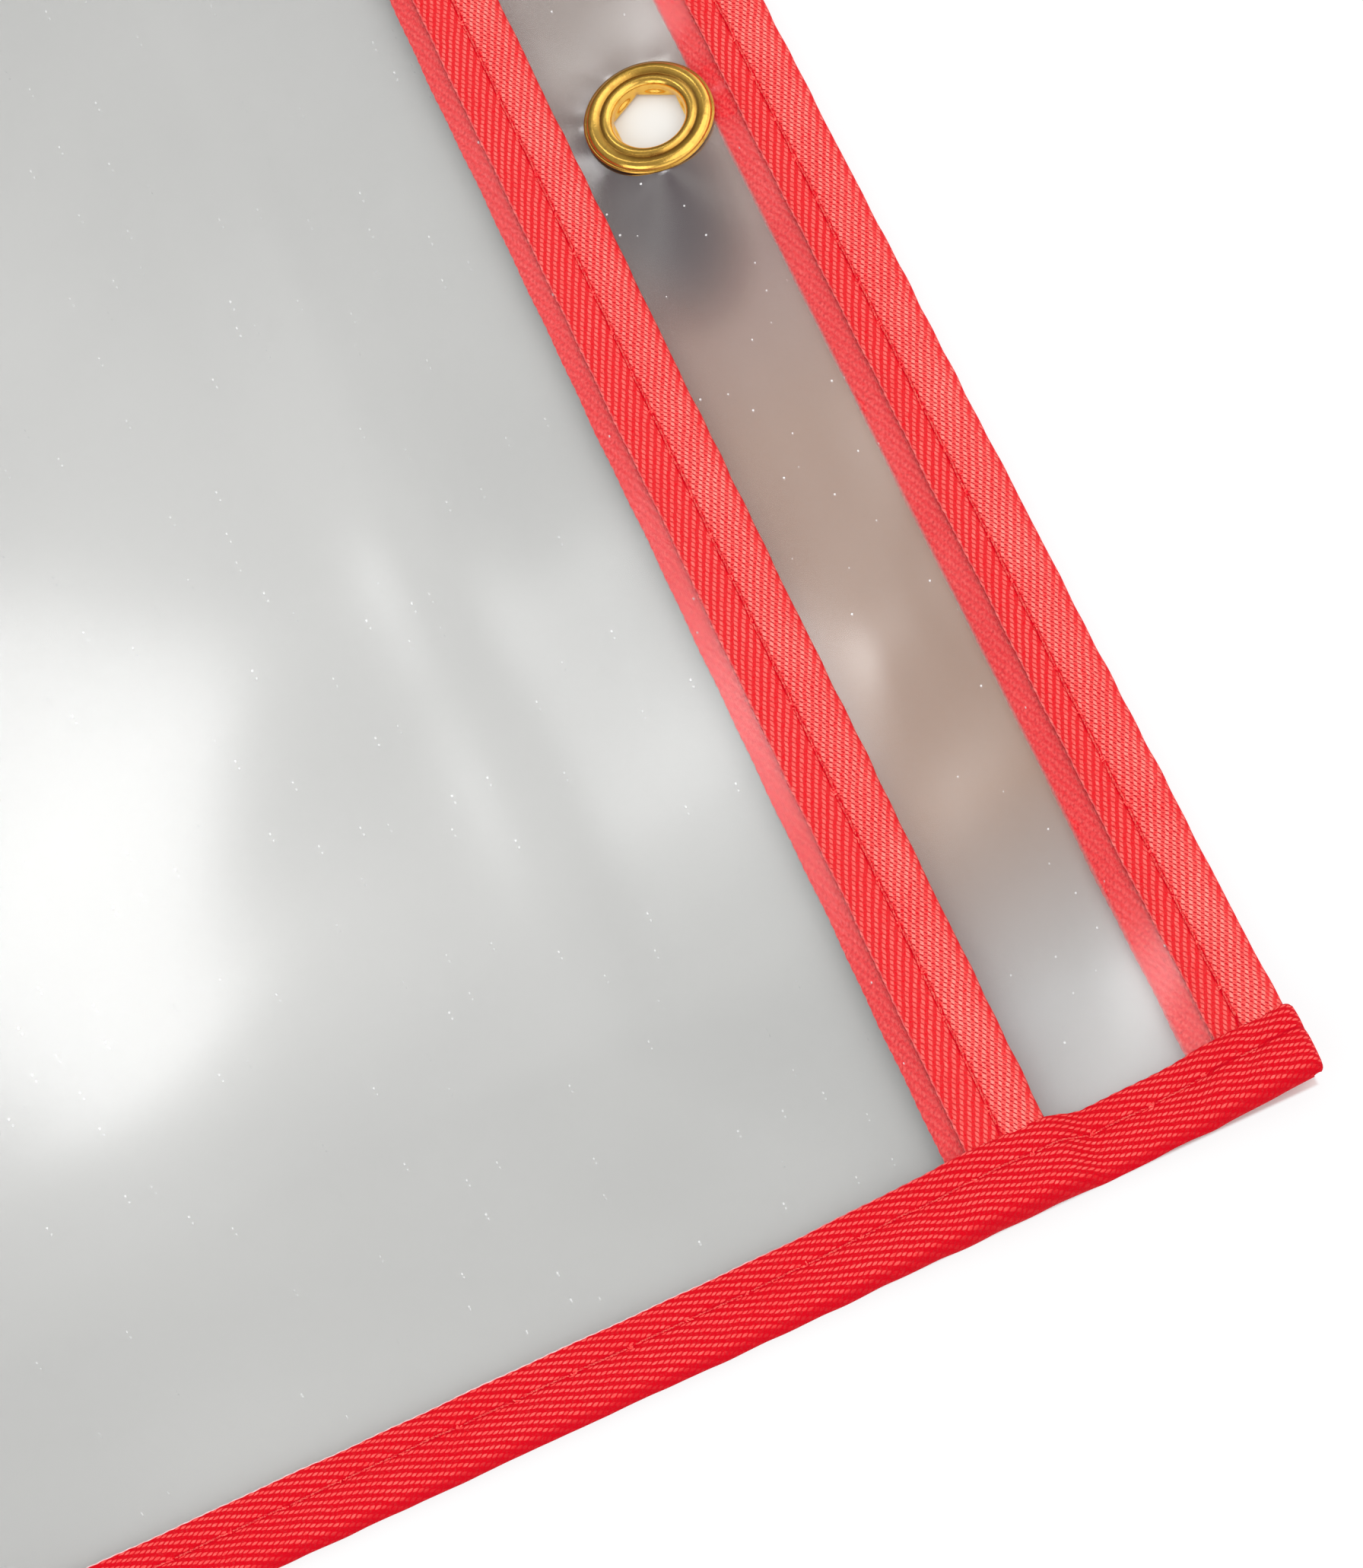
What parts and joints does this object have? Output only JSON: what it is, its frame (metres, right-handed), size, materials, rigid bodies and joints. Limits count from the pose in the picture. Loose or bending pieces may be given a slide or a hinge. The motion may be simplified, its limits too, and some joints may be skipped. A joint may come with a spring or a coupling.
{
  "type": "dry erase sleeve",
  "caption": "Clear film pocket with a header strip, bound on every edge in folded sewn fabric tape and hung by a brass eyelet.",
  "frame": {"origin": "middle of the rectangle that the sleeve covers, on the surface that its back lies on", "axes": "+X across the sleeve to its right edge, +Y up to its top edge, +Z out of its front face"},
  "size_m": [0.254, 0.3556, 0.0044],
  "materials": {
    "clear_film": "clear glossy film",
    "red_tape": "woven twill binding tape",
    "red_thread": "sewing thread",
    "brass_eyelet": "polished brass"
  },
  "bodies": {
    "root": {"back_sheet": "clear_film", "front_sheet": "clear_film", "top_binding": "red_tape", "mouth_binding": "red_tape", "bottom_binding": "red_tape", "left_binding": "red_tape", "right_binding": "red_tape", "top_needle_thread": "red_thread", "top_bobbin_thread": "red_thread", "mouth_needle_thread": "red_thread", "mouth_bobbin_thread": "red_thread", "bottom_needle_thread": "red_thread", "bottom_bobbin_thread": "red_thread", "left_needle_thread": "red_thread", "left_bobbin_thread": "red_thread", "right_needle_thread": "red_thread", "right_bobbin_thread": "red_thread", "eyelet": "brass_eyelet"}
  },
  "joints": []
}
